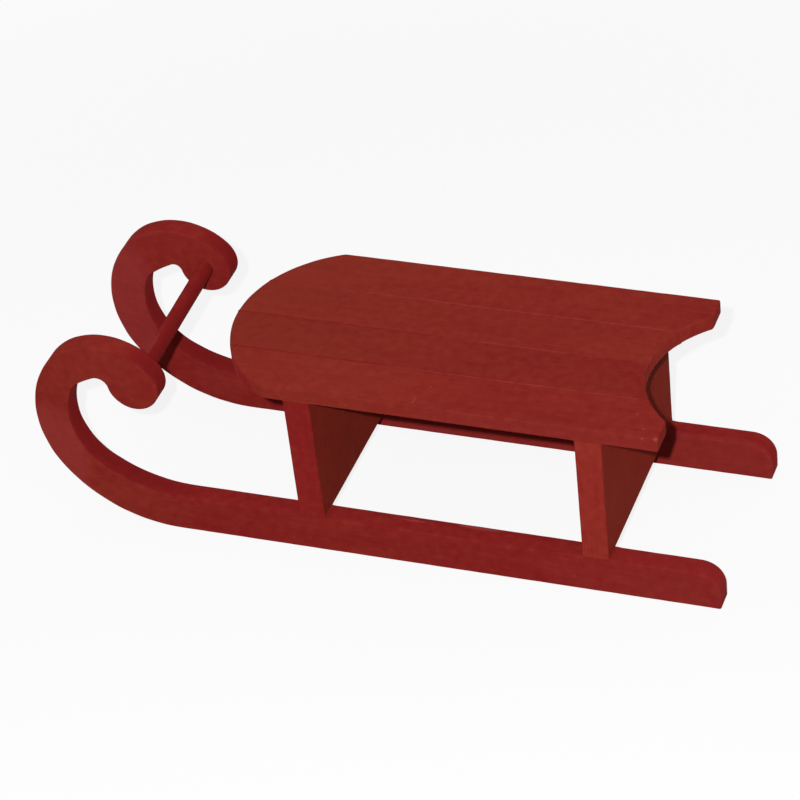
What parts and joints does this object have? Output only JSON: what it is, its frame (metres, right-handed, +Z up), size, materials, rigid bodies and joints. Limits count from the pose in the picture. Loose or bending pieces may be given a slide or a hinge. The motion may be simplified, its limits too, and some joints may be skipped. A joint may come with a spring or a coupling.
{
  "type": "sled",
  "caption": "Small painted wooden sled: a bowed plank seat on two upright leg boards over runners that curl up at the front into round bulbs joined by a pull dowel.",
  "frame": {"origin": "on the ground, midway along the sled's length and midway between the runners", "axes": "+X towards the curled front, +Y towards the sled's left, +Z up"},
  "size_m": [0.5556, 0.182, 0.1702],
  "materials": {
    "runner_paint": "satin dark red brushed paint over sawn board",
    "leg_paint": "satin dark red brushed paint over sawn board",
    "seat_paint": "satin dark red brushed paint, lightly worn, over planed planks",
    "dowel_paint": "satin dark red paint over a round dowel",
    "screw_steel": "dull zinc",
    "nail_steel": "bare steel"
  },
  "bodies": {
    "root": {"left_runner": "runner_paint", "right_runner": "runner_paint", "front_leg_board": "leg_paint", "rear_leg_board": "leg_paint", "seat_plank_outer_left": "seat_paint", "seat_plank_inner_left": "seat_paint", "seat_plank_inner_right": "seat_paint", "seat_plank_outer_right": "seat_paint", "pull_dowel": "dowel_paint", "leg_screw_front_left": "screw_steel", "leg_screw_front_right": "screw_steel", "leg_screw_rear_left": "screw_steel", "leg_screw_rear_right": "screw_steel", "seat_nail_front_1": "nail_steel", "seat_nail_front_2": "nail_steel", "seat_nail_front_3": "nail_steel", "seat_nail_front_4": "nail_steel", "seat_nail_front_5": "nail_steel", "seat_nail_front_6": "nail_steel", "seat_nail_front_7": "nail_steel", "seat_nail_front_8": "nail_steel", "seat_nail_rear_1": "nail_steel", "seat_nail_rear_2": "nail_steel", "seat_nail_rear_3": "nail_steel", "seat_nail_rear_4": "nail_steel", "seat_nail_rear_5": "nail_steel", "seat_nail_rear_6": "nail_steel", "seat_nail_rear_7": "nail_steel", "seat_nail_rear_8": "nail_steel"}
  },
  "joints": []
}
